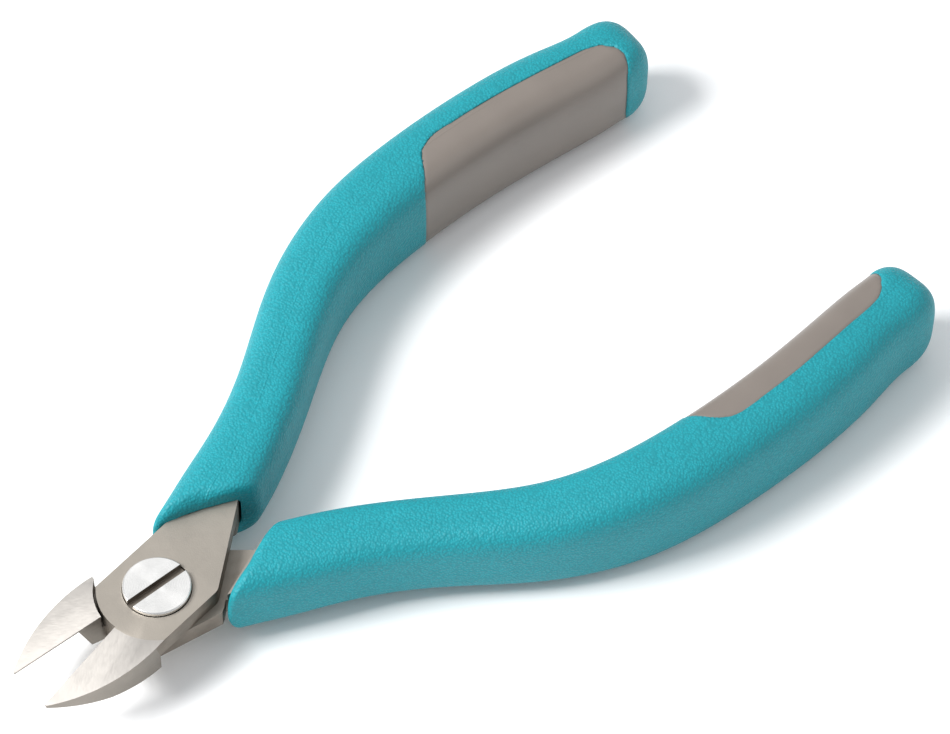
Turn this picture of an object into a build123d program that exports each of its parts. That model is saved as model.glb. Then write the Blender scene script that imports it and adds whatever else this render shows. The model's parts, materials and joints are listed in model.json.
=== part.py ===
"""Flush cutter with a screwed lap joint, a concealed return spring and two-component grips.

Millimetres, +Z up.  +X runs from the jaws to the handles, +Y towards the handle of the top
lever.  The tool is drawn at rest, which is fully open.  The origin is under the middle of
the tool, on the surface that the grips lie on.
"""
from build123d import *

import os
from math import copysign, cos, pi, radians, sin, sqrt, tan

os.makedirs("parts", exist_ok=True)

# ---- Whole tool ----
HALF_OPEN = 8.4        # degrees that each lever stands open from the closed tool
TIP_REACH = 21.5       # pivot axis to jaw tip
GRIP_REACH = 110.6     # pivot axis to the rear of the grips, along X, at rest
GRIP_HALF_H = 7.5      # greatest half height of a grip
REST_LAND = 0.12       # depth of the flat land moulded under each grip

# ---- Joint ----
LAP = 2.7              # thickness of each half lap
FLANK = 6.24           # centre line of the closed tool to the side of the joint
LAP_NOSE_R = 8.0       # rounded nose of each lap, about the pivot
JAW_HEEL_R = 8.42      # hollow heel of each jaw, about the pivot
JAW_HEEL_X = 6.2       # how far in front of the pivot the heel's outer corner stands
THROAT_TILT = 32.0     # degrees between a closed lever's throat edge and X
THROAT_EDGE = 7.9      # pivot axis to the throat edge of a lap
THROAT_STEP = 8.75     # pivot axis to the step where a lever becomes full thickness
THROAT_CORNER_R = 1.7
TOP_SHOULDER_X = 10.2  # where each lap's outer side turns in towards its tang
BOTTOM_SHOULDER_X = 6.1
SHOULDER_CUT = [(0.55, 0.49), (1.35, 1.46)]   # the turned-in side, back and in from the shoulder
NECK_CORNER_X = 7.26   # outer end of the step
NECK_SIDE = (12.0, 6.4)        # a point of the outer side of the full thickness behind it
NECK_END_R = 0.9       # rounding of the full thickness at the throat
REAR_OUTER = (17.5, 7.9)       # where laps and full thickness end inside the grip
REAR_X = 21.5

# ---- Jaws ----
JAW_GAP = 0.05         # each edge to the plane where the two edges meet
CONE_START_R = 8.2     # the top of the jaws is turned to a cone beyond this radius
CONE_SLOPE = 0.21
BELLY_R = 14.7         # underside of the jaws: a slow taper to here, a fast one beyond
BELLY_Z = 2.2
TIP_BELLY_Z = 0.65
TIP_BLUNT = 0.35
EDGE_LAND = 0.3        # height of the flat below each cutting edge
BEVEL_ANGLE = 40.0     # degrees between the inner bevel and the vertical
BEVEL_X = 11.9         # the bevel stops here at the top
BEVEL_HEEL_X = 10.0    # and here at the underside, which leaves the root block
BEVEL_RUN = 12.5
RELIEF_SWEEP = 120.0   # degrees round the pivot that the turned surfaces cover
OVERRUN = 1.5          # how far a cutting shape runs past what it cuts

# ---- Pivot screw ----
HEAD_R = 4.55
HEAD_TOP = 3.4         # top of the head over the lap plane
HEAD_SEAT = 1.6        # underside of the head over the lap plane
HEAD_CLEAR = 0.1
SHOULDER_R = 2.5
THREAD_R = 2.0
RUN_CLEAR = 0.05       # radial running clearance of the shoulder
THREAD_CLEAR = 0.02
SLOT_W = 1.15
SLOT_DEPTH = 0.9
HEAD_CHAMFER = 0.15

# ---- Concealed spring: an open ring with one leg in each lap ----
POCKET_R = 3.9
POCKET_DEPTH = 0.6     # in each lap
WIRE_R = 0.45
RING_R = 3.2
RING_GAP = 20.0        # degrees from +X to each end of the ring
LEG_TURN = 26.0        # degrees from +X to each leg
LEG_R = 0.4
LEG_TIP = 1.1          # each leg's end to the lap plane
LEG_HOLE_R = 0.5
LEG_HOLE_DEPTH = 1.2

# ---- Handles: centre line of the top lever's grip at rest, from the pivot ----
GRIP_LINE = [
    (4.0, 2.0), (13.0, 5.8), (22.0, 9.8), (34.0, 17.0), (46.0, 25.1), (58.0, 29.6),
    (70.0, 31.1), (84.0, 31.2), (96.0, 30.1), (104.0, 29.3), (GRIP_REACH, 29.0),
]
LINE_LENGTH = 113.8    # about the length of the centre line
# Share of the centre line, half width and half height
GRIP_SECTIONS = [
    (0.00, 5.45, 5.6), (0.086, 5.3, 5.6), (0.173, 5.15, 5.65), (0.296, 4.9, 5.85),
    (0.423, 5.2, 6.5), (0.536, 5.65, 7.3), (0.642, 5.9, 7.45), (0.765, 5.97, GRIP_HALF_H),
    (0.871, 5.8, 7.45), (0.942, 5.45, 7.35),
]
SECTION_POINTS = 16
SQUARENESS = 3.5       # 2 is an ellipse, more is squarer
CAP_POWER = 0.74       # the rounded end behind the last section: 1 is an ellipse, less is squarer
CAP_TURNS = (0, 15, 30, 45, 60, 75)
SKIN = 1.5             # soft cover over the hard core
MOUTH_TILT = 22.0      # degrees between the slanted front of an open grip and X
TOP_MOUTH = 10.1       # pivot axis to each grip's front
BOTTOM_MOUTH = 9.2
MOUTH_R = 1.2          # rounding of the front's edge
CORE_START_X = 24.0    # the hard core starts behind this
# Plan of the part of the core that shows, from the pivot, and its shift towards +Y
WINDOW = [
    (67.5, 24.0), (68.5, 25.8), (69.8, 27.4), (71.0, 29.4), (73.6, 31.3), (78.0, 31.6),
    (84.0, 31.4), (92.0, 30.7), (99.5, 29.9), (102.2, 29.4), (104.4, 27.8), (105.2, 25.4), (104.2, 23.6),
]
WINDOW_SHIFT = 0.45
WINDOW_DEPTH_Y = 10.0  # the window is open to this far from the tool's centre line
TANG = [(0.14, 2.9), (0.30, 2.9), (0.60, 2.7), (0.86, 2.3)]   # share of the line, half width
CUTTER = 40.0          # size of the blocks that shape the grips

PIVOT_X = (TIP_REACH * cos(radians(HALF_OPEN)) - GRIP_REACH) / 2
REST_Z = GRIP_HALF_H - REST_LAND


def tool_plane(height=0.0):
    """Level plane of the resting tool, at a height over the lap plane, centred on the pivot."""
    return Plane(origin=(PIVOT_X, 0, REST_Z + height))


def lever_plane(side):
    """Lap plane turned with a lever, so that its jaw edge lies on -X.  side is +1 or -1."""
    turn = radians(side * HALF_OPEN)
    return Plane(origin=(PIVOT_X, 0, REST_Z), x_dir=(cos(turn), sin(turn), 0), z_dir=(0, 0, 1))


def lap_profile(side, shoulder_x):
    """Plan of a lever's own lap with its jaw, in the closed tool's frame."""
    flank_x = -sqrt(LAP_NOSE_R**2 - FLANK**2)
    tilt = radians(THROAT_TILT)
    corner_x = (THROAT_EDGE - FLANK * cos(tilt)) / sin(tilt)
    rear_y = (REAR_X * sin(tilt) - THROAT_EDGE) / cos(tilt)
    with BuildSketch(lever_plane(side)) as profile:
        with BuildLine():
            Polyline(
                (-TIP_REACH, -side * TIP_BLUNT),
                (-TIP_REACH, -side * JAW_GAP),
                (-LAP_NOSE_R, -side * JAW_GAP),
            )
            RadiusArc((-LAP_NOSE_R, -side * JAW_GAP), (flank_x, side * FLANK), side * LAP_NOSE_R)
            Polyline(
                (flank_x, side * FLANK),
                (shoulder_x, side * FLANK),
                *[(shoulder_x + back, side * (FLANK - inward)) for back, inward in SHOULDER_CUT],
                (REAR_OUTER[0], side * REAR_OUTER[1]),
                (REAR_X, side * rear_y),
                (corner_x, -side * FLANK),
                (-JAW_HEEL_X, -side * FLANK),
            )
            TangentArc((-JAW_HEEL_X, -side * FLANK), (-TIP_REACH, -side * TIP_BLUNT), tangent=(-1, 0))
        make_face()
        corner = profile.vertices().sort_by_distance((corner_x, -side * FLANK, 0))[0]
        fillet(corner, radius=THROAT_CORNER_R)
    return profile.sketch


def jaw_profile(side):
    """Plan of the half of a jaw that stands beside the other lever's lap."""
    heel_y = sqrt(JAW_HEEL_R**2 - JAW_HEEL_X**2)
    with BuildSketch(lever_plane(side)) as profile:
        with BuildLine():
            Polyline(
                (-TIP_REACH, -side * TIP_BLUNT),
                (-TIP_REACH, -side * JAW_GAP),
                (-JAW_HEEL_R, -side * JAW_GAP),
            )
            RadiusArc((-JAW_HEEL_R, -side * JAW_GAP), (-JAW_HEEL_X, -side * heel_y), -side * JAW_HEEL_R)
            Line((-JAW_HEEL_X, -side * heel_y), (-JAW_HEEL_X, -side * FLANK))
            TangentArc((-JAW_HEEL_X, -side * FLANK), (-TIP_REACH, -side * TIP_BLUNT), tangent=(-1, 0))
        make_face()
    return profile.sketch


def neck_profile(side):
    """Plan of the full thickness behind the step that the other lever's lap swings up to."""
    tilt = radians(THROAT_TILT)

    def step_y(x):
        return (THROAT_STEP - x * sin(tilt)) / cos(tilt)

    def throat_y(x):
        return (x * sin(tilt) - THROAT_EDGE) / cos(tilt)

    end_x = (THROAT_STEP + THROAT_EDGE) / 2 / sin(tilt)
    with BuildSketch(lever_plane(side)) as profile:
        with BuildLine():
            Polyline(
                (NECK_CORNER_X, side * step_y(NECK_CORNER_X)),
                (end_x, side * step_y(end_x)),
                (REAR_X, side * throat_y(REAR_X)),
                (REAR_OUTER[0], side * REAR_OUTER[1]),
                (NECK_SIDE[0], side * NECK_SIDE[1]),
                (NECK_CORNER_X, side * step_y(NECK_CORNER_X)),
            )
        make_face()
        end = profile.vertices().sort_by_distance((end_x, side * step_y(end_x), 0))[0]
        fillet(end, radius=NECK_END_R)
    return profile.sketch


def jaw_relief(side):
    """What the turned top and the tapered underside take off a lever's jaw."""
    start = radians(side * HALF_OPEN + 180 - RELIEF_SWEEP / 2)
    far = TIP_REACH + OVERRUN
    tip_slope = (BELLY_Z - TIP_BELLY_Z) / (TIP_REACH - BELLY_R)
    radial = Plane(
        origin=(PIVOT_X, 0, REST_Z),
        x_dir=(cos(start), sin(start), 0),
        z_dir=(sin(start), -cos(start), 0),
    )
    with BuildPart() as relief:
        with BuildSketch(radial):
            with BuildLine():
                Polyline(
                    (CONE_START_R, LAP),
                    (far, LAP - CONE_SLOPE * (far - CONE_START_R)),
                    (far, LAP + OVERRUN),
                    (CONE_START_R, LAP + OVERRUN),
                    (CONE_START_R, LAP),
                )
            make_face()
            with BuildLine():
                Polyline(
                    (JAW_HEEL_R, -LAP),
                    (BELLY_R, -BELLY_Z),
                    (far, tip_slope * OVERRUN - TIP_BELLY_Z),
                    (far, -LAP - OVERRUN),
                    (JAW_HEEL_R, -LAP - OVERRUN),
                    (JAW_HEEL_R, -LAP),
                )
            make_face()
        revolve(axis=Axis((PIVOT_X, 0, REST_Z), (0, 0, 1)), revolution_arc=RELIEF_SWEEP)
    return relief.part


def edge_bevel(side):
    """The wedge ground away below a cutting edge, in front of the root block."""
    top_z = LAP - CONE_SLOPE * (BEVEL_X - CONE_START_R)
    drop = top_z + LAP
    rise = Vector(BEVEL_HEEL_X - BEVEL_X, 0, drop).normalized()
    turn = radians(side * HALF_OPEN)

    def turned(v):
        return Vector(v.X * cos(turn) - v.Y * sin(turn), v.X * sin(turn) + v.Y * cos(turn), v.Z)

    across = turned(Vector(0, -side, 0))
    rise = turned(rise)
    corner = turned(Vector(-BEVEL_X, -side * JAW_GAP, top_z)) + Vector(PIVOT_X, 0, REST_Z)
    run = turned(Vector(-1, 0, -CONE_SLOPE)).normalized()
    depth = drop + 2 * OVERRUN
    with BuildPart() as bevel:
        with BuildSketch(Plane(origin=corner, x_dir=across, z_dir=across.cross(rise))):
            with BuildLine():
                Polyline(
                    (-OVERRUN, -EDGE_LAND),
                    (0, -EDGE_LAND),
                    (depth * tan(radians(BEVEL_ANGLE)), -EDGE_LAND - depth),
                    (-OVERRUN, -EDGE_LAND - depth),
                    (-OVERRUN, -EDGE_LAND),
                )
            make_face()
        extrude(amount=BEVEL_RUN, dir=run)
    return bevel.part


def handle_station(side, share):
    """Plane across a handle's centre line, at a share of its length.  Local Y is up."""
    with BuildLine(tool_plane()) as line:
        Spline(*[(x, side * y) for x, y in GRIP_LINE])
    path = line.edge()
    return Plane(origin=path.position_at(share), x_dir=path.tangent_at(share).cross(Vector(0, 0, 1)),
                 z_dir=path.tangent_at(share))


def squircle(half_w, half_h):
    """Points round a section between an ellipse and a rectangle."""
    turns = [2 * pi * k / SECTION_POINTS for k in range(SECTION_POINTS)]
    power = 2 / SQUARENESS
    return [
        (
            copysign(half_w * abs(cos(t)) ** power, cos(t)),
            copysign(half_h * abs(sin(t)) ** power, sin(t)),
        )
        for t in turns
    ]


def grip_blank(side, inset):
    """Outside of a grip, taken in all round by inset."""
    sections = [(share, w - inset, h - inset) for share, w, h in GRIP_SECTIONS]
    start, last_w, last_h = sections[-1]
    reach = 1 - start - inset / LINE_LENGTH
    cap = []
    for turn in CAP_TURNS:
        size = cos(radians(turn)) ** CAP_POWER
        cap.append((start + reach * sin(radians(turn)) ** CAP_POWER, last_w * size, last_h * size))
    with BuildPart() as blank:
        for stretch in (sections, cap):
            for share, half_w, half_h in stretch:
                with BuildSketch(handle_station(side, share)):
                    with BuildLine():
                        Spline(*squircle(half_w, half_h), periodic=True)
                    make_face()
            loft()
        split(bisect_by=Plane.XY, keep=Keep.TOP)
    return blank.part


def tang(side):
    """The flat bar that runs down the inside of a grip."""
    with BuildPart() as bar:
        for share, half_w in TANG:
            with BuildSketch(handle_station(side, share)):
                Rectangle(2 * half_w, 2 * LAP)
        loft()
    return bar.part


def mouth_plane(side, reach):
    """Slanted front of a grip, reach from the pivot axis, with its normal into the grip."""
    tilt = radians(MOUTH_TILT)
    normal = Vector(sin(tilt), side * cos(tilt), 0)
    return Plane(
        origin=Vector(PIVOT_X, 0, REST_Z) + normal * reach,
        x_dir=(cos(tilt), -side * sin(tilt), 0),
        z_dir=normal,
    )


def cover_blank(side, reach):
    """Outside of a grip behind its slanted front, with the front's edge rounded."""
    front = mouth_plane(side, reach)
    with BuildPart() as blank:
        add(grip_blank(side, 0))
        split(bisect_by=front, keep=Keep.TOP)
        rim = blank.faces().sort_by_distance(front.origin).filter_by(GeomType.PLANE)[0]
        fillet(rim.edges(), radius=MOUTH_R)
    return blank.part


def window_block(side):
    """The part of a grip where the hard core comes to the surface: its inner side."""
    outline = [(x, side * y + WINDOW_SHIFT) for x, y in WINDOW]
    with BuildPart() as block:
        with BuildSketch(tool_plane(-CUTTER / 2)):
            with BuildLine():
                Spline(*outline)
                Polyline(
                    outline[-1],
                    (outline[-1][0], side * WINDOW_DEPTH_Y),
                    (outline[0][0], side * WINDOW_DEPTH_Y),
                    outline[0],
                )
            make_face()
        extrude(amount=CUTTER)
    return block.part


def core_front(side):
    """Everything in front of the hard core."""
    with BuildPart() as cut:
        with BuildSketch(tool_plane(-CUTTER / 2)):
            with Locations((CORE_START_X - CUTTER, side * WINDOW_DEPTH_Y)):
                Rectangle(2 * CUTTER, 2 * CUTTER)
        extrude(amount=CUTTER)
    return cut.part


def core_room(side):
    """The space that the hard core fills, its window through the cover included."""
    window = grip_blank(side, 0).intersect(window_block(side))
    with BuildPart() as room:
        add(grip_blank(side, SKIN))
        add(window)
        add(core_front(side), mode=Mode.SUBTRACT)
    return room.part


def leg_place(turn):
    """Where a spring leg stands in the lap plane, at an angle from +X."""
    return (RING_R * cos(radians(turn)), RING_R * sin(radians(turn)))


# ---- Levers ----
with BuildPart() as top_lever:
    extrude(lap_profile(1, TOP_SHOULDER_X), amount=LAP)
    extrude(jaw_profile(1), amount=-LAP)
    extrude(neck_profile(1), amount=-LAP)
    add(tang(1))
    add(jaw_relief(1), mode=Mode.SUBTRACT)
    add(edge_bevel(1), mode=Mode.SUBTRACT)
    with Locations(tool_plane(LAP)):
        CounterBoreHole(
            radius=SHOULDER_R + RUN_CLEAR,
            counter_bore_radius=HEAD_R + HEAD_CLEAR,
            counter_bore_depth=LAP - HEAD_SEAT,
            depth=LAP,
        )
    with BuildSketch(tool_plane()):
        Circle(POCKET_R)
    extrude(amount=POCKET_DEPTH, mode=Mode.SUBTRACT)
    with BuildSketch(tool_plane()):
        with Locations(leg_place(-LEG_TURN)):
            Circle(LEG_HOLE_R)
    extrude(amount=LEG_HOLE_DEPTH, mode=Mode.SUBTRACT)
top_lever.part.label = "top_lever"

with BuildPart() as bottom_lever:
    extrude(lap_profile(-1, BOTTOM_SHOULDER_X), amount=-LAP)
    extrude(jaw_profile(-1), amount=LAP)
    extrude(neck_profile(-1), amount=LAP)
    add(tang(-1))
    add(jaw_relief(-1), mode=Mode.SUBTRACT)
    add(edge_bevel(-1), mode=Mode.SUBTRACT)
    with Locations(tool_plane()):
        Hole(radius=THREAD_R, depth=LAP)
    with BuildSketch(tool_plane()):
        Circle(POCKET_R)
    extrude(amount=-POCKET_DEPTH, mode=Mode.SUBTRACT)
    with BuildSketch(tool_plane()):
        with Locations(leg_place(LEG_TURN)):
            Circle(LEG_HOLE_R)
    extrude(amount=-LEG_HOLE_DEPTH, mode=Mode.SUBTRACT)
bottom_lever.part.label = "bottom_lever"

# ---- Pivot screw and the spring around it ----
with BuildPart() as pivot_screw:
    with BuildSketch(tool_plane(HEAD_SEAT)):
        Circle(HEAD_R)
    extrude(amount=HEAD_TOP - HEAD_SEAT)
    chamfer(pivot_screw.edges().group_by(Axis.Z)[-1], length=HEAD_CHAMFER)
    with BuildSketch(tool_plane(-POCKET_DEPTH)):
        Circle(SHOULDER_R)
    extrude(amount=POCKET_DEPTH + HEAD_SEAT)
    with BuildSketch(tool_plane(-LAP)):
        Circle(THREAD_R - THREAD_CLEAR)
    extrude(amount=LAP)
    with BuildSketch(tool_plane(HEAD_TOP - SLOT_DEPTH)):
        Rectangle(3 * HEAD_R, SLOT_W)
    extrude(amount=SLOT_DEPTH, mode=Mode.SUBTRACT)
pivot_screw.part.label = "pivot_screw"

ring_end = radians(RING_GAP)
with BuildPart() as return_spring:
    with BuildSketch(Plane(
        origin=(PIVOT_X, 0, REST_Z),
        x_dir=(cos(ring_end), sin(ring_end), 0),
        z_dir=(sin(ring_end), -cos(ring_end), 0),
    )):
        with Locations((RING_R, 0)):
            Circle(WIRE_R)
    revolve(axis=Axis((PIVOT_X, 0, REST_Z), (0, 0, 1)), revolution_arc=360 - 2 * RING_GAP)
    with BuildSketch(tool_plane()):
        with Locations(leg_place(LEG_TURN)):
            Circle(LEG_R)
    extrude(amount=-LEG_TIP)
    with BuildSketch(tool_plane()):
        with Locations(leg_place(-LEG_TURN)):
            Circle(LEG_R)
    extrude(amount=LEG_TIP)
return_spring.part.label = "return_spring"

# ---- Grips ----
with BuildPart() as top_grip_core:
    add(core_room(1))
    add(top_lever.part, mode=Mode.SUBTRACT)
top_grip_core.part.label = "top_grip_core"

with BuildPart() as top_grip_cover:
    add(cover_blank(1, TOP_MOUTH))
    add(core_room(1), mode=Mode.SUBTRACT)
    add(top_lever.part, mode=Mode.SUBTRACT)
top_grip_cover.part.label = "top_grip_cover"

with BuildPart() as bottom_grip_core:
    add(core_room(-1))
    add(bottom_lever.part, mode=Mode.SUBTRACT)
bottom_grip_core.part.label = "bottom_grip_core"

with BuildPart() as bottom_grip_cover:
    add(cover_blank(-1, BOTTOM_MOUTH))
    add(core_room(-1), mode=Mode.SUBTRACT)
    add(bottom_lever.part, mode=Mode.SUBTRACT)
bottom_grip_cover.part.label = "bottom_grip_cover"

for piece in (
    top_lever,
    bottom_lever,
    pivot_screw,
    return_spring,
    top_grip_core,
    top_grip_cover,
    bottom_grip_core,
    bottom_grip_cover,
):
    name = piece.part.label
    print(name, round(piece.part.volume, 1), piece.part.is_valid, len(piece.solids()))
    export_step(piece.part, f"parts/{name}.step")
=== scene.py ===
import json
import math

import bmesh
import bpy
import numpy as np
from mathutils import Matrix, Vector
from mathutils.bvhtree import BVHTree


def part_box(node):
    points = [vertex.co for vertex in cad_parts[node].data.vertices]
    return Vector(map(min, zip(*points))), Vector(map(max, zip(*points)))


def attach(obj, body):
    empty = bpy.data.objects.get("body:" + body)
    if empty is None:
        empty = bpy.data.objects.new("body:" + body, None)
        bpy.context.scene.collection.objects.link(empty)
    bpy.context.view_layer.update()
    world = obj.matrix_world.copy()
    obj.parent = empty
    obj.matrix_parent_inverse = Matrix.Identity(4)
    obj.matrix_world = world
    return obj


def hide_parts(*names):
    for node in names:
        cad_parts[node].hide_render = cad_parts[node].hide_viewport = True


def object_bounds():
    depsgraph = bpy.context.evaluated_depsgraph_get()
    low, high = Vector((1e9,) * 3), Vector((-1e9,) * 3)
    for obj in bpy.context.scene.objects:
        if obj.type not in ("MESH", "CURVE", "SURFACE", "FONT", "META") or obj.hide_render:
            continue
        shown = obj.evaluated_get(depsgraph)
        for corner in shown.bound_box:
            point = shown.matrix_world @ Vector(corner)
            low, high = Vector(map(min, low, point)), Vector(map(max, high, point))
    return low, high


# Looks of the flush cutter.  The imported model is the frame.  Lengths are in metres.
# "side" is +1 for the top lever, whose handle is at +Y, and -1 for the bottom lever.

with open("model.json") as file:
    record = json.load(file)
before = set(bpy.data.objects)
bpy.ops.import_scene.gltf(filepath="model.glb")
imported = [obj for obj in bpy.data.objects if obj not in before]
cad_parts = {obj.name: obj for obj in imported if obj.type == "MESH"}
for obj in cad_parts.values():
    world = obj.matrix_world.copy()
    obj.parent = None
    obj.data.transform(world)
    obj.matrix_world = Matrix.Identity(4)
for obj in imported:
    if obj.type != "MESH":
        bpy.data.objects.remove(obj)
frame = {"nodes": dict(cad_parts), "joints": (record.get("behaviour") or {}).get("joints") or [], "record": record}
cad_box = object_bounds()
NODES = frame["nodes"]
PIVOT = Vector(frame["joints"][0]["pos_m"])
HALF_OPEN = math.radians(frame["joints"][0]["range_deg"][1] / 2)
SIDES = (("top", 1), ("bottom", -1))
MM = 0.001

# ---- Colours: the record's, with three that suit grained surfaces in strong light ----
COLOURS = {m["slot"]: (*m["base_color"], 1.0) for m in frame["record"]["materials"]}
COLOURS["soft_teal"] = (0.004, 0.28, 0.33, 1)
COLOURS["lever_steel"] = (0.385, 0.35, 0.305, 1)
COLOURS["hard_grey"] = (0.18, 0.155, 0.135, 1)
JAW_TOP = (0.52, 0.49, 0.455, 1)
# Painted shade: the jaws' side faces get a colour half as bright as their ground tops.
JAW_SIDE_PAINTED_SHADE = (0.25, 0.228, 0.20, 1)
# Brownish wall colours, far darker than the plates as painted shade.
WALL_PAINTED_SHADE_DARK = (0.17, 0.145, 0.12, 1)
WALL_PAINTED_SHADE_PALE = (0.25, 0.22, 0.185, 1)
FLOOR_WHITE = (0.93, 0.93, 0.93, 1)
ROOM_WHITE = (0.95, 0.97, 1.0, 1)

# ---- Grips: centre line and sections ----
LINE_STEP = 0.5 * MM
EVEN_STEP = 0.1 * MM
FRONT_START = 2 * MM       # from the pivot axis along X, where the centre line starts
WHOLE_START = 23 * MM      # behind this a slice across X is whole
FRONT_LINE = [(4.0, 2.0), (13.0, 5.8)]   # centre line in front of that, in mm from the pivot
RAY_OUTSIDE = 60 * MM
RAY_INSIDE = 10 * MM       # beyond the tool's middle, in the open space between the grips
RAY_AROUND = 12 * MM       # from the centre line, outside every section
COLUMNS = 132
STEP = 0.36 * MM
RIDGE = 0.05 * MM          # parting ridge along the middle of the top
RIDGE_TURN = 0.012         # half width of the ridge, in radians round the section
RIDGE_COLUMNS = np.array([-0.026, -0.011, 0.011, 0.026])
TURN_RUN = 14 * MM         # the sections turn square to the grip over this length
CLEAN_RUN = 4 * MM         # the rows in front of this continue the ones behind

# ---- Grips: mouth and rear end ----
MOUTH_TILT = math.radians(22)
MOUTH_REACH = {"top": 10.1 * MM, "bottom": 9.2 * MM}
MOUTH_FLARE = {"top": 0.9 * MM, "bottom": 0.2 * MM}   # the outer end stands further forward
RIM_R = 2.0 * MM
RIM_SETBACK = 2.4 * MM     # most that the rounding takes back
OUTER_SETBACK = 1.1 * MM   # less than that at the outer end
RIM_ROWS = 13
HOLE_HALF = {"top": (4.72 * MM, 2.74 * MM), "bottom": (5.45 * MM, 2.74 * MM)}
HOLE_POWER = 9             # 2 is an ellipse, more is squarer
HOLE_DEPTH = 3.6 * MM
HOLE_ROWS = (1.0, 0.6, 0.25, 0.04)
HOLLOW_ROWS = 6            # rows in the hollow and on its lip
LIP = 0.25 * MM
CAP_REACH = 6.3 * MM
CAP_POWER = 0.74
CAP_ROWS = 25
CAP_TIP = 0.004            # share of the section that is left at the very end

# ---- Grips: window edge, in mm across it ----
RIM_CLEAR_ROWS = 20        # the window starts behind these rows of the rim
EDGE_BAND = 2.0
SNAP_SHARE = 0.12
UNDERLAP = 0.75            # the hard core goes on under the cover
CORE_DROP = 0.10
CORE_DIP = 0.40
DIP_START = 0.02
DIP_RUN = 0.10
LIP_DROP = 0.07
LIP_WALL = 0.6

# ---- Steel ----
LEVER_EDGE = 0.12 * MM
SCREW_EDGE = 0.05 * MM
LAP_R = 8.0 * MM
HEEL_R = 8.15 * MM
JAW_R = 9.0 * MM
SLOT_DEPTH = 0.9 * MM
SLOT_HALF = 0.6 * MM

# ---- Camera, from the pivot ----
CAMERA_PLACE = Vector((-0.20762, -0.30014, 0.53185))
CAMERA_RIGHT = Vector((0.75602, -0.65453, 0.00389))
CAMERA_UP = Vector((0.52079, 0.60512, 0.60217))
CAMERA_LENS = 185.876
CAMERA_SENSOR = 36


def bvh_of(*names):
    verts, faces = [], []
    for name in names:
        mesh = NODES[name].data
        start = len(verts)
        verts += [v.co.copy() for v in mesh.vertices]
        faces += [[start + i for i in p.vertices] for p in mesh.polygons]
    return BVHTree.FromPolygons(verts, faces)


def smooth(a, sigma, axis, wrap=False):
    """Gaussian smoothing of an array along one axis."""
    n = max(1, int(3 * sigma))
    k = np.exp(-0.5 * (np.arange(-n, n + 1) / sigma) ** 2)
    k /= k.sum()
    pad = [(0, 0)] * a.ndim
    pad[axis] = (n, n)
    if wrap:
        p = np.pad(a, pad, mode="wrap")
    else:
        p = np.pad(a, pad, mode="reflect", reflect_type="odd")
    out = np.zeros_like(a)
    for i, w in enumerate(k):
        out += w * np.take(p, range(i, i + a.shape[axis]), axis=axis)
    return out


def lengths(rows):
    return np.linalg.norm(rows, axis=1)


def centre_line(side, tree, end_x):
    """Points down the middle of a grip, evenly spaced, from well in front of its mouth."""
    xs = np.arange(PIVOT.x + WHOLE_START, end_x - CAP_REACH, LINE_STEP)
    ys = []
    for x in xs:
        far = tree.ray_cast(Vector((x, side * RAY_OUTSIDE, PIVOT.z)), Vector((0, -side, 0)))[0]
        near = tree.ray_cast(Vector((x, -side * RAY_INSIDE, PIVOT.z)), Vector((0, side, 0)))[0]
        ys.append((far.y + near.y) / 2)
    ys = smooth(np.array(ys), 5, 0)
    front = np.arange(PIVOT.x + FRONT_START, xs[0], LINE_STEP)
    known = [(PIVOT.x + x * MM, side * y * MM) for x, y in FRONT_LINE] + [(xs[0], ys[0])]
    front_y = np.interp(front, *zip(*known))
    slope, start = np.polyfit(xs[-8:], ys[-8:], 1)
    rear = np.arange(xs[-1] + LINE_STEP, end_x + 2 * MM, LINE_STEP)
    x = np.concatenate([front, xs, rear])
    y = smooth(np.concatenate([front_y, ys, slope * rear + start]), 5, 0)
    run = np.concatenate([[0], np.cumsum(np.hypot(np.diff(x), np.diff(y)))])
    even = np.arange(0, run[-1], EVEN_STEP)
    return np.stack([np.interp(even, run, x), np.interp(even, run, y)], 1), even


def column_angles():
    """Columns round a section, with closer ones in the middle of its top and bottom."""
    angles = np.linspace(0, 2 * math.pi, COLUMNS, endpoint=False)
    top, bottom = math.pi / 2 + RIDGE_COLUMNS, 3 * math.pi / 2 + RIDGE_COLUMNS
    return np.sort(np.concatenate([angles, top, bottom]))


def sections(side, tree, line, run, tangent, first, last, angles):
    """Centres, directions and half sizes of even sections, slanted at the mouth, square behind."""
    cos, sin = np.cos(angles), np.sin(angles)
    mouth = mouth_direction(side)
    length = run[last] - run[first]
    rows = int(length / STEP)
    centres, dirs, sizes = [], [], []
    for k in range(rows + 1):
        a = length * k / rows
        at = np.array([np.interp(run[first] + a, run, line[:, i]) for i in (0, 1)])
        t = np.array([np.interp(run[first] + a, run, tangent[:, i]) for i in (0, 1)])
        square = side * np.array([-t[1], t[0]])
        s = min(1.0, a / TURN_RUN)
        s = s * s * (3 - 2 * s)
        w = mouth[:2] * (1 - s) + square * s
        w /= np.linalg.norm(w)
        stretch = 1 / abs(w[0] * t[1] - w[1] * t[0])
        c = np.array([at[0], at[1], PIVOT.z])
        d = np.outer(cos * stretch, [w[0], w[1], 0]) + np.outer(sin, [0, 0, 1])
        d /= lengths(d)[:, None]
        row = []
        for direction in map(Vector, d):
            hit = tree.ray_cast(Vector(c) + direction * RAY_AROUND, -direction)[0]
            row.append((hit - Vector(c)).dot(direction) if hit else np.nan)
        centres.append(c)
        dirs.append(d)
        sizes.append(row)
    return np.array(centres), np.array(dirs), np.array(sizes)


def mouth_direction(side):
    """Along the slanted front of a grip, towards its outer end."""
    return np.array([-math.cos(MOUTH_TILT), side * math.sin(MOUTH_TILT), 0])


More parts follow.
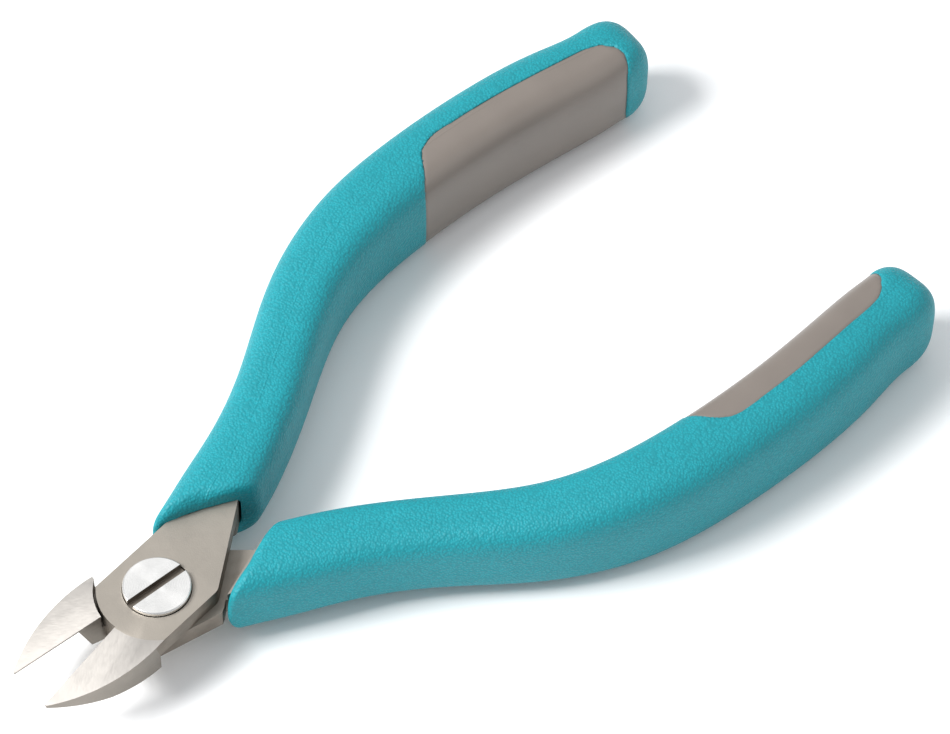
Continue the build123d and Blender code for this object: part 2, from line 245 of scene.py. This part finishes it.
def mouth_rows(key, side, centre, into, edge, behind, angles):
    """Rows from the floor of the mouth's hollow over its lip, across the face and round the rim."""
    outer = np.clip(np.cos(angles), 0, 1) ** 2
    inward = (centre - edge) / lengths(centre - edge)[:, None]
    side_room = lengths(behind - edge)
    along = (behind - edge) / side_room[:, None]
    # the hollow's outline is a rounded rectangle in the plane of the mouth
    flat = edge - centre
    half_w, half_h = HOLE_HALF[key]
    wide, high = np.abs(flat @ mouth_direction(side) / half_w), np.abs(flat[:, 2] / half_h)
    size = (wide ** HOLE_POWER + high ** HOLE_POWER) ** (1 / HOLE_POWER)
    hole = centre + flat / size[:, None]
    face_room = lengths(hole - edge)
    # the rim is an arc between a point on the side and one on the face
    half = 0.5 * np.arccos(np.clip(np.sum(inward * along, axis=1), -1, 1))
    setback = np.minimum(RIM_R / np.tan(half), RIM_SETBACK - OUTER_SETBACK * outer)
    setback = np.minimum(setback, 0.93 * face_room)
    setback = np.minimum(setback, 0.9 * side_room)
    setback = smooth(setback, 2, 0, wrap=True)
    on_side = edge + along * setback[:, None]
    on_face = edge + inward * setback[:, None]
    rows = [hole + into * HOLE_DEPTH * share for share in HOLE_ROWS]
    outward = (edge - hole) / face_room[:, None]
    rows.append(hole + outward * np.minimum(LIP * 0.35, 0.05 * face_room)[:, None] + into * LIP * 0.1)
    rows.append(hole + outward * np.minimum(LIP, 0.06 * face_room)[:, None])
    for t in np.linspace(1, 0, RIM_ROWS):
        a, b, c = (1 - t) ** 2, 2 * np.sin(half) * t * (1 - t), t ** 2
        rows.append((a * on_side.T + b * edge.T + c * on_face.T).T / (a + b + c)[:, None])
    return rows, on_side


def end_rows(section, centre, backward):
    """Rows of the rounded rear end."""
    rows = []
    for turn in np.linspace(0, math.pi / 2, CAP_ROWS + 1)[1:]:
        out = math.sin(turn) ** CAP_POWER
        size = max(math.cos(turn), 0) ** CAP_POWER
        rows.append(centre + backward * CAP_REACH * out + (section - centre) * max(size, CAP_TIP))
    return rows


def grip_grid(key, side, tree, end_x):
    """Rows of points over a grip: hollow mouth, rounded rim, sides, rounded end."""
    line, run = centre_line(side, tree, end_x)
    tangent = np.gradient(smooth(line, 12, 0), axis=0)
    tangent /= lengths(tangent)[:, None]
    normal = np.array([math.sin(MOUTH_TILT), side * math.cos(MOUTH_TILT), 0])
    depth = (line - np.array(PIVOT[:2])) @ normal[:2] - MOUTH_REACH[key]
    first = int(np.argmax(depth > 0))
    last = int(np.argmax(line[:, 0] > end_x - CAP_REACH))
    angles = column_angles()
    centres, dirs, sizes = sections(side, tree, line, run, tangent, first, last, angles)
    clean = int(CLEAN_RUN / (run[last] - run[first]) * (len(centres) - 1))
    sizes[clean:] = smooth(smooth(sizes[clean:], 2.2, 0), 1.2, 1, wrap=True)
    p = centres[:, None, :] + dirs * sizes[:, :, None]
    # in front of the clean rows, the sides run on straight to the plane of the mouth
    ahead = p[clean] - p[clean + 8]
    ahead /= lengths(ahead)[:, None]
    gap = (p[clean] - np.array(PIVOT)) @ normal - MOUTH_REACH[key]
    gap += MOUTH_FLARE[key] * np.clip(np.cos(angles), 0, 1) ** 2
    edge = p[clean] - ahead * (gap / (ahead @ normal))[:, None]
    ridge = RIDGE * np.exp(-(((angles - math.pi / 2) / RIDGE_TURN) ** 2))
    p[:, :, 2] += ridge
    edge[:, 2] += ridge
    into = np.array([*tangent[first], 0])
    backward = np.array([*tangent[last], 0])
    grid, on_side = mouth_rows(key, side, centres[0], into, edge, p[clean], angles)
    grid += [on_side + (p[clean] - on_side) * (k / clean) for k in range(1, clean)]
    grid += list(p[clean:])
    grid += end_rows(p[-1], centres[-1], backward)
    grid = np.array(grid)
    grid[HOLLOW_ROWS:] = np.clip(grid[HOLLOW_ROWS:], list(cad_box[0]), list(cad_box[1]))
    return grid, centres[0] + into * HOLE_DEPTH, centres[-1] + backward * CAP_REACH


def grid_faces(rows, cols):
    """Quads between the rows, and fans that close the two ends at two last points."""
    faces = []
    for k in range(rows - 1):
        for j in range(cols):
            i = (j + 1) % cols
            faces.append((k * cols + j, k * cols + i, (k + 1) * cols + i, (k + 1) * cols + j))
    for j in range(cols):
        i = (j + 1) % cols
        faces.append((i, j, rows * cols))
        faces.append(((rows - 1) * cols + j, (rows - 1) * cols + i, rows * cols + 1))
    return faces


def window_levels(verts, rows, cols, cover, core):
    """Distance of each point from the window's edge in mm, above 0 on the hard core."""
    cover_tree, core_tree = bvh_of(cover), bvh_of(core)
    levels = np.full(len(verts), -9.0)
    for i, v in enumerate(verts):
        if i // cols > HOLLOW_ROWS + RIM_CLEAR_ROWS and i < rows * cols:
            point = Vector(v)
            levels[i] = (cover_tree.find_nearest(point)[3] - core_tree.find_nearest(point)[3]) / MM
    raw = levels[: rows * cols].reshape(rows, cols)
    near = smooth(smooth(raw, 1.2, 0), 1.2, 1, wrap=True)
    levels[: rows * cols] = np.where(np.abs(raw) < EDGE_BAND, near, raw).ravel()
    return levels


def cut_at_window(bm, level):
    """Splits the faces along the window's edge, where the level is 0."""
    crossing = [e for e in bm.edges if e.verts[0][level] * e.verts[1][level] < 0]
    for e in crossing:
        a, b = e.verts
        if a[level] * b[level] == 0:
            continue
        share = a[level] / (a[level] - b[level])
        if share < SNAP_SHARE:
            a[level] = 0.0
        elif share > 1 - SNAP_SHARE:
            b[level] = 0.0
        else:
            bmesh.utils.edge_split(e, a, share)[1][level] = 0.0
    for f in list(bm.faces):
        on = [v for v in f.verts if v[level] == 0.0]
        if len(on) == 2 and len(f.verts) > 3:
            around = [v[level] for v in f.verts]
            if max(around) > 0 and min(around) < 0:
                bmesh.ops.connect_vert_pair(bm, verts=on)
    bm.normal_update()


def sink_core(part, level):
    """The hard core lies just under the cover's skin and dips at the window's edge."""
    normals = {v: v.normal.copy() for v in part.verts}
    for v in part.verts:
        under = min(1.0, max(0.0, (DIP_START - v[level]) / DIP_RUN))
        v.co -= normals[v] * MM * (CORE_DROP + CORE_DIP * under)


def turn_lip(part):
    """The cover's edge at the window is pressed in a little and gets a wall down to the core."""
    normals = {v: v.normal.copy() for v in part.verts}
    rim = [e for e in part.edges if len(e.link_faces) == 1]
    lip = {v for e in rim for v in e.verts}
    out = bmesh.ops.extrude_edge_only(part, edges=rim)
    for v in [x for x in out["geom"] if isinstance(x, bmesh.types.BMVert)]:
        near = min(lip, key=lambda q: (q.co - v.co).length_squared)
        v.co -= normals[near] * LIP_WALL * MM
    for v in lip:
        v.co -= normals[v] * LIP_DROP * MM


def half_of(bm, name, body, node, keep_core):
    """One material's share of a grip, as a piece of its own."""
    part = bm.copy()
    level = part.verts.layers.float["level"]
    drop = []
    for f in part.faces:
        middle = sum(v[level] for v in f.verts) / len(f.verts)
        if keep_core and middle < -UNDERLAP or not keep_core and middle > 0:
            drop.append(f)
    bmesh.ops.delete(part, geom=drop, context="FACES")
    part.normal_update()
    if keep_core:
        sink_core(part, level)
    else:
        turn_lip(part)
    bmesh.ops.recalc_face_normals(part, faces=part.faces)
    mesh = bpy.data.meshes.new(name)
    part.to_mesh(mesh)
    part.free()
    mesh.shade_smooth()
    return add_piece(name, mesh, body, node)


def add_piece(name, mesh, body, node):
    obj = bpy.data.objects.new(name, mesh)
    bpy.context.scene.collection.objects.link(obj)
    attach(obj, body)
    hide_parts(node)
    return obj


def grip(key, side, body):
    cover, core = f"{key}_grip_cover", f"{key}_grip_core"
    grid, front, rear = grip_grid(key, side, bvh_of(cover, core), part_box(cover)[1].x)
    rows, cols = grid.shape[:2]
    verts = [tuple(v) for v in grid.reshape(-1, 3)] + [tuple(front), tuple(rear)]
    faces = grid_faces(rows, cols)
    if side < 0:
        faces = [f[::-1] for f in faces]
    levels = window_levels(verts, rows, cols, cover, core)
    bm = bmesh.new()
    level = bm.verts.layers.float.new("level")
    made = [bm.verts.new(v) for v in verts]
    for f in faces:
        bm.faces.new([made[i] for i in f])
    bm.normal_update()
    for v, value in zip(made, levels):
        v[level] = float(value)
    cut_at_window(bm, level)
    soft = half_of(bm, f"{key}_soft_grip", body, cover, False)
    hard = half_of(bm, f"{key}_hard_inlay", body, core, True)
    bm.free()
    return soft, hard


# ---- Steel pieces: the CAD shapes with broken edges ----
def broken_edges(name, node, body, width):
    mesh = NODES[node].data.copy()
    mesh.name = name
    bm = bmesh.new()
    bm.from_mesh(mesh)
    bmesh.ops.remove_doubles(bm, verts=bm.verts, dist=0.002 * MM)
    bmesh.ops.dissolve_limit(
        bm, angle_limit=math.radians(1.0), verts=bm.verts, edges=bm.edges, delimit=set()
    )
    bmesh.ops.recalc_face_normals(bm, faces=bm.faces)
    bm.to_mesh(mesh)
    bm.free()
    for old in ("custom_normal", "sharp_edge", "sharp_face"):
        if old in mesh.attributes:
            mesh.attributes.remove(mesh.attributes[old])
    mesh.shade_smooth()
    mesh.materials.clear()
    obj = add_piece(name, mesh, body, node)
    bevel = obj.modifiers.new("edges", "BEVEL")
    bevel.width = width
    bevel.segments = 2
    bevel.limit_method = "ANGLE"
    bevel.angle_limit = math.radians(28)
    bevel.use_clamp_overlap = True
    weighted = obj.modifiers.new("normals", "WEIGHTED_NORMAL")
    weighted.weight = 100
    return obj


# ---- Materials ----
def material(name):
    mat = bpy.data.materials.new(name)
    mat.use_nodes = True
    tree = mat.node_tree
    return mat, tree, tree.nodes["Principled BSDF"]


def link(tree, a, out, b, into):
    tree.links.new(a.outputs[out], b.inputs[into])


def coords(tree, scale=(1, 1, 1), turn=0.0, at=(0, 0, 0)):
    """Object coordinates, which are the frame's metres, moved, turned and scaled."""
    source = tree.nodes.new("ShaderNodeTexCoord")
    place = tree.nodes.new("ShaderNodeMapping")
    place.vector_type = "TEXTURE"
    place.inputs["Location"].default_value = at
    place.inputs["Rotation"].default_value = (0, 0, turn)
    place.inputs["Scale"].default_value = [1 / s for s in scale]
    link(tree, source, "Object", place, "Vector")
    return place


def noise(tree, where, scale, detail=3.0, rough=0.5):
    node = tree.nodes.new("ShaderNodeTexNoise")
    node.inputs["Scale"].default_value = scale
    node.inputs["Detail"].default_value = detail
    node.inputs["Roughness"].default_value = rough
    link(tree, where, "Vector", node, "Vector")
    return node


def ramp(tree, source, out, stops):
    node = tree.nodes.new("ShaderNodeValToRGB")
    for element, (at, colour) in zip(node.color_ramp.elements, stops):
        element.position = at
        element.color = colour
    link(tree, source, out, node, "Fac")
    return node


def bump(tree, source, out, strength, distance, below=None):
    node = tree.nodes.new("ShaderNodeBump")
    node.inputs["Strength"].default_value = strength
    node.inputs["Distance"].default_value = distance
    link(tree, source, out, node, "Height")
    if below:
        link(tree, below, "Normal", node, "Normal")
    return node


def grey(v):
    return (v, v, v, 1)


def shade(c, k):
    return (c[0] * k, c[1] * k, c[2] * k, 1)


def soft_teal():
    """Soft-touch rubber with a fine pebble grain."""
    mat, tree, bsdf = material("soft_teal_rubber")
    base = COLOURS["soft_teal"]
    where = coords(tree)
    cells = tree.nodes.new("ShaderNodeTexVoronoi")
    cells.feature = "SMOOTH_F1"
    cells.inputs["Scale"].default_value = 2900
    cells.inputs["Smoothness"].default_value = 0.35
    link(tree, where, "Vector", cells, "Vector")
    fine = noise(tree, where, 3200, 3, 0.55)
    coarse = noise(tree, where, 260, 3, 0.5)
    grain = bump(tree, cells, "Distance", 0.75, 0.00013)
    grain = bump(tree, fine, "Fac", 0.25, 0.00004, grain)
    link(tree, grain, "Normal", bsdf, "Normal")
    wide = ramp(tree, coarse, "Fac", [(0.3, grey(0.94)), (0.7, grey(1.0))])
    pits = ramp(tree, cells, "Distance", [(0.12, shade(base, 1.04)), (0.62, shade(base, 0.80))])
    both = tree.nodes.new("ShaderNodeMix")
    both.data_type = "RGBA"
    both.blend_type = "MULTIPLY"
    both.inputs["Factor"].default_value = 1.0
    tree.links.new(pits.outputs["Color"], both.inputs[6])
    tree.links.new(wide.outputs["Color"], both.inputs[7])
    tree.links.new(both.outputs[2], bsdf.inputs["Base Color"])
    rough = ramp(tree, fine, "Fac", [(0.3, grey(0.50)), (0.7, grey(0.62))])
    link(tree, rough, "Color", bsdf, "Roughness")
    bsdf.inputs["Specular IOR Level"].default_value = 0.4
    bsdf.inputs["Sheen Weight"].default_value = 0.05
    bsdf.inputs["Sheen Roughness"].default_value = 0.4
    return mat


def hard_grey():
    """Smooth satin moulded plastic."""
    mat, tree, bsdf = material("hard_grey_plastic")
    base = COLOURS["hard_grey"]
    where = coords(tree)
    fine = noise(tree, where, 2600, 2, 0.5)
    coarse = noise(tree, where, 140, 2, 0.5)
    link(tree, bump(tree, fine, "Fac", 0.18, 0.00004), "Normal", bsdf, "Normal")
    colour = ramp(tree, coarse, "Fac", [(0.3, shade(base, 0.96)), (0.7, shade(base, 1.04))])
    link(tree, colour, "Color", bsdf, "Base Color")
    rough = ramp(tree, coarse, "Fac", [(0.3, grey(0.34)), (0.7, grey(0.40))])
    link(tree, rough, "Color", bsdf, "Roughness")
    return mat


def blasted_steel():
    """Fine bead-blasted plates."""
    mat, tree, bsdf = material("blasted_steel")
    base = COLOURS["lever_steel"]
    where = coords(tree)
    fine = noise(tree, where, 5200, 4, 0.6)
    spots = noise(tree, where, 900, 3, 0.6)
    wide = noise(tree, where, 120, 3, 0.5)
    dents = bump(tree, spots, "Fac", 0.10, 0.00008)
    link(tree, bump(tree, fine, "Fac", 0.45, 0.00004, dents), "Normal", bsdf, "Normal")
    colour = ramp(tree, wide, "Fac", [(0.3, shade(base, 0.93)), (0.7, shade(base, 1.05))])
    link(tree, colour, "Color", bsdf, "Base Color")
    rough = ramp(tree, spots, "Fac", [(0.3, grey(0.52)), (0.7, grey(0.62))])
    link(tree, rough, "Color", bsdf, "Roughness")
    bsdf.inputs["Metallic"].default_value = 0.85
    return mat


def ground_steel(name, turn, tint, low, high):
    """Satin steel with fine grinding lines at an angle from X."""
    mat, tree, bsdf = material(name)
    where = coords(tree, scale=(1, 14, 14), turn=turn)
    lines = noise(tree, where, 420, 4, 0.6)
    wide = noise(tree, coords(tree), 260, 3, 0.5)
    link(tree, bump(tree, lines, "Fac", 0.22, 0.00004), "Normal", bsdf, "Normal")
    colour = ramp(tree, wide, "Fac", [(0.3, shade(tint, 0.92)), (0.7, shade(tint, 1.05))])
    link(tree, colour, "Color", bsdf, "Base Color")
    rough = ramp(tree, lines, "Fac", [(0.3, grey(low)), (0.7, grey(high))])
    link(tree, rough, "Color", bsdf, "Roughness")
    bsdf.inputs["Metallic"].default_value = 1.0
    return mat


def wall_steel_painted_shade():
    """Milled and hardened side walls: brownish, with faint cutter marks, and darker than the plates as painted
    shade.
    """
    mat, tree, bsdf = material("wall_steel_painted_shade")
    where = coords(tree, scale=(1, 1, 6))
    marks = noise(tree, where, 700, 4, 0.6)
    wide = noise(tree, coords(tree), 300, 3, 0.55)
    link(tree, bump(tree, marks, "Fac", 0.35, 0.00006), "Normal", bsdf, "Normal")
    # Painted shade: both wall colours are far darker than the plate steel.
    colour = ramp(tree, wide, "Fac", [(0.3, WALL_PAINTED_SHADE_DARK), (0.7, WALL_PAINTED_SHADE_PALE)])
    link(tree, colour, "Color", bsdf, "Base Color")
    rough = ramp(tree, marks, "Fac", [(0.3, grey(0.40)), (0.7, grey(0.52))])
    link(tree, rough, "Color", bsdf, "Roughness")
    bsdf.inputs["Metallic"].default_value = 0.9
    return mat


def turned_steel():
    """Face-turned screw head: fine rings round the pivot."""
    mat, tree, bsdf = material("turned_steel")
    base = COLOURS["screw_steel"]
    where = coords(tree, at=PIVOT)
    rings = tree.nodes.new("ShaderNodeTexWave")
    rings.wave_type = "RINGS"
    rings.rings_direction = "Z"
    rings.inputs["Scale"].default_value = 1500
    rings.inputs["Distortion"].default_value = 2.5
    rings.inputs["Detail"].default_value = 3
    rings.inputs["Detail Scale"].default_value = 2
    link(tree, where, "Vector", rings, "Vector")
    wide = noise(tree, coords(tree), 500, 3, 0.5)
    link(tree, bump(tree, rings, "Fac", 0.06, 0.00002), "Normal", bsdf, "Normal")
    colour = ramp(tree, wide, "Fac", [(0.3, shade(base, 0.95)), (0.7, shade(base, 1.08))])
    link(tree, colour, "Color", bsdf, "Base Color")
    rough = ramp(tree, rings, "Fac", [(0.2, grey(0.20)), (0.8, grey(0.30))])
    link(tree, rough, "Color", bsdf, "Roughness")
    bsdf.inputs["Metallic"].default_value = 1.0
    bsdf.inputs["Anisotropic"].default_value = 0.6
    tangent = tree.nodes.new("ShaderNodeTangent")
    tangent.direction_type = "RADIAL"
    tangent.axis = "Z"
    link(tree, tangent, "Tangent", bsdf, "Tangent")
    return mat


def wire_steel():
    """Bright drawn wire."""
    mat, tree, bsdf = material("wire_steel")
    base = COLOURS["spring_steel"]
    lines = noise(tree, coords(tree), 1800, 3, 0.6)
    colour = ramp(tree, lines, "Fac", [(0.3, shade(base, 0.85)), (0.7, shade(base, 1.1))])
    link(tree, colour, "Color", bsdf, "Base Color")
    rough = ramp(tree, lines, "Fac", [(0.3, grey(0.25)), (0.7, grey(0.36))])
    link(tree, rough, "Color", bsdf, "Roughness")
    link(tree, bump(tree, lines, "Fac", 0.15, 0.00003), "Normal", bsdf, "Normal")
    bsdf.inputs["Metallic"].default_value = 1.0
    return mat


def paint_lever(obj, plate, jaw_top, jaw_side, wall):
    """Which finish each face has, from where it lies and which way it faces. The jaws' side faces and all steep
    walls get darker colours, painted shade.
    """
    mesh = obj.data
    for finish in (plate, jaw_top, jaw_side, wall):
        mesh.materials.append(finish)
    for p in mesh.polygons:
        d = p.center - PIVOT
        r = math.hypot(d.x, d.y)
        jaw = d.x < 0 and r > LAP_R
        if jaw and abs(p.normal.z) > 0.05 and r > HEEL_R:
            p.material_index = 1
        # Jaw side faces take the darker jaw colour, painted shade.
        elif jaw and r > JAW_R:
            p.material_index = 2
        # Steep faces take the walls' darker finish, painted shade.
        elif abs(p.normal.z) < 0.5:
            p.material_index = 3
        else:
            p.material_index = 0


def paint_screw(obj, head, slot):
    """Bright head, with painted shade in the slot: its walls and floor are as dark as the levers' walls."""
    for finish in (head, slot):
        obj.data.materials.append(finish)
    slot_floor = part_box("pivot_screw")[1].z - SLOT_DEPTH
    for p in obj.data.polygons:
        high = p.center.z - slot_floor
        # Painted shade: faces in the slot, floor included, take the walls' dark finish.
        if -0.05 * MM < high < 0.8 * MM and abs(p.center.y) < SLOT_HALF:
            p.material_index = 1


# ---- The pieces ----
teal, hard = soft_teal(), hard_grey()
for key, side in SIDES:
    soft_piece, hard_piece = grip(key, side, f"{key}_handle")
    soft_piece.data.materials.append(teal)
    hard_piece.data.materials.append(hard)

# The walls' finish is brownish steel, darker than the plates as painted shade.
plate, wall = blasted_steel(), wall_steel_painted_shade()
for key, side in SIDES:
    lever = broken_edges(f"{key}_lever_steel", f"{key}_lever", f"{key}_handle", LEVER_EDGE)
    ground = ground_steel(f"{key}_jaw_ground", side * HALF_OPEN + 0.5 * side, JAW_TOP, 0.36, 0.46)
    # The jaws' side faces: honed lines, with a darker colour as painted shade.
    honed_with_painted_shade = ground_steel(f"{key}_jaw_side", side * HALF_OPEN, JAW_SIDE_PAINTED_SHADE, 0.34, 0.46)
    paint_lever(lever, plate, ground, honed_with_painted_shade, wall)

screw = broken_edges("pivot_screw_steel", "pivot_screw", "bottom_handle", SCREW_EDGE)
# The slot gets the walls' dark finish, painted shade in the recess.
paint_screw(screw, turned_steel(), wall)
spring = NODES["return_spring"]
spring.data.materials.clear()
spring.data.materials.append(wire_steel())


# ---- Floor, light and camera ----
def area_light(name, place, width, power):
    data = bpy.data.lights.new(name, "AREA")
    data.shape = "RECTANGLE"
    data.size, data.size_y = width, width
    data.energy = power
    lamp = bpy.data.objects.new(name, data)
    bpy.context.scene.collection.objects.link(lamp)
    lamp.location = place
    lamp.rotation_euler = (-lamp.location).to_track_quat("-Z", "Y").to_euler()


bpy.ops.mesh.primitive_plane_add(size=6)
floor = bpy.context.object
floor.name = "floor"
floor.location.z = -0.02 * MM
mat, tree, bsdf = material("pale_floor")
bsdf.inputs["Base Color"].default_value = FLOOR_WHITE
bsdf.inputs["Roughness"].default_value = 0.8
floor.data.materials.append(mat)

world = bpy.data.worlds.new("studio")
bpy.context.scene.world = world
world.use_nodes = True
world.node_tree.nodes["Background"].inputs["Color"].default_value = ROOM_WHITE
world.node_tree.nodes["Background"].inputs["Strength"].default_value = 0.62

area_light("key_light", (-0.46, 0.28, 0.56), 0.35, 9.2)
area_light("fill_light", (0.45, -0.35, 0.45), 0.5, 0.5)
area_light("sheen_light", (0.36, 0.50, 1.08), 0.5, 0.5)

bpy.context.scene.view_settings.view_transform = "Standard"

camera = bpy.data.objects.new("camera", bpy.data.cameras.new("camera"))
bpy.context.scene.collection.objects.link(camera)
turn = Matrix((CAMERA_RIGHT, CAMERA_UP, CAMERA_RIGHT.cross(CAMERA_UP))).transposed().to_4x4()
camera.matrix_world = Matrix.Translation(PIVOT + CAMERA_PLACE) @ turn
camera.data.lens = CAMERA_LENS
camera.data.sensor_width = CAMERA_SENSOR
camera.data.clip_start = 0.05
bpy.context.scene.camera = camera
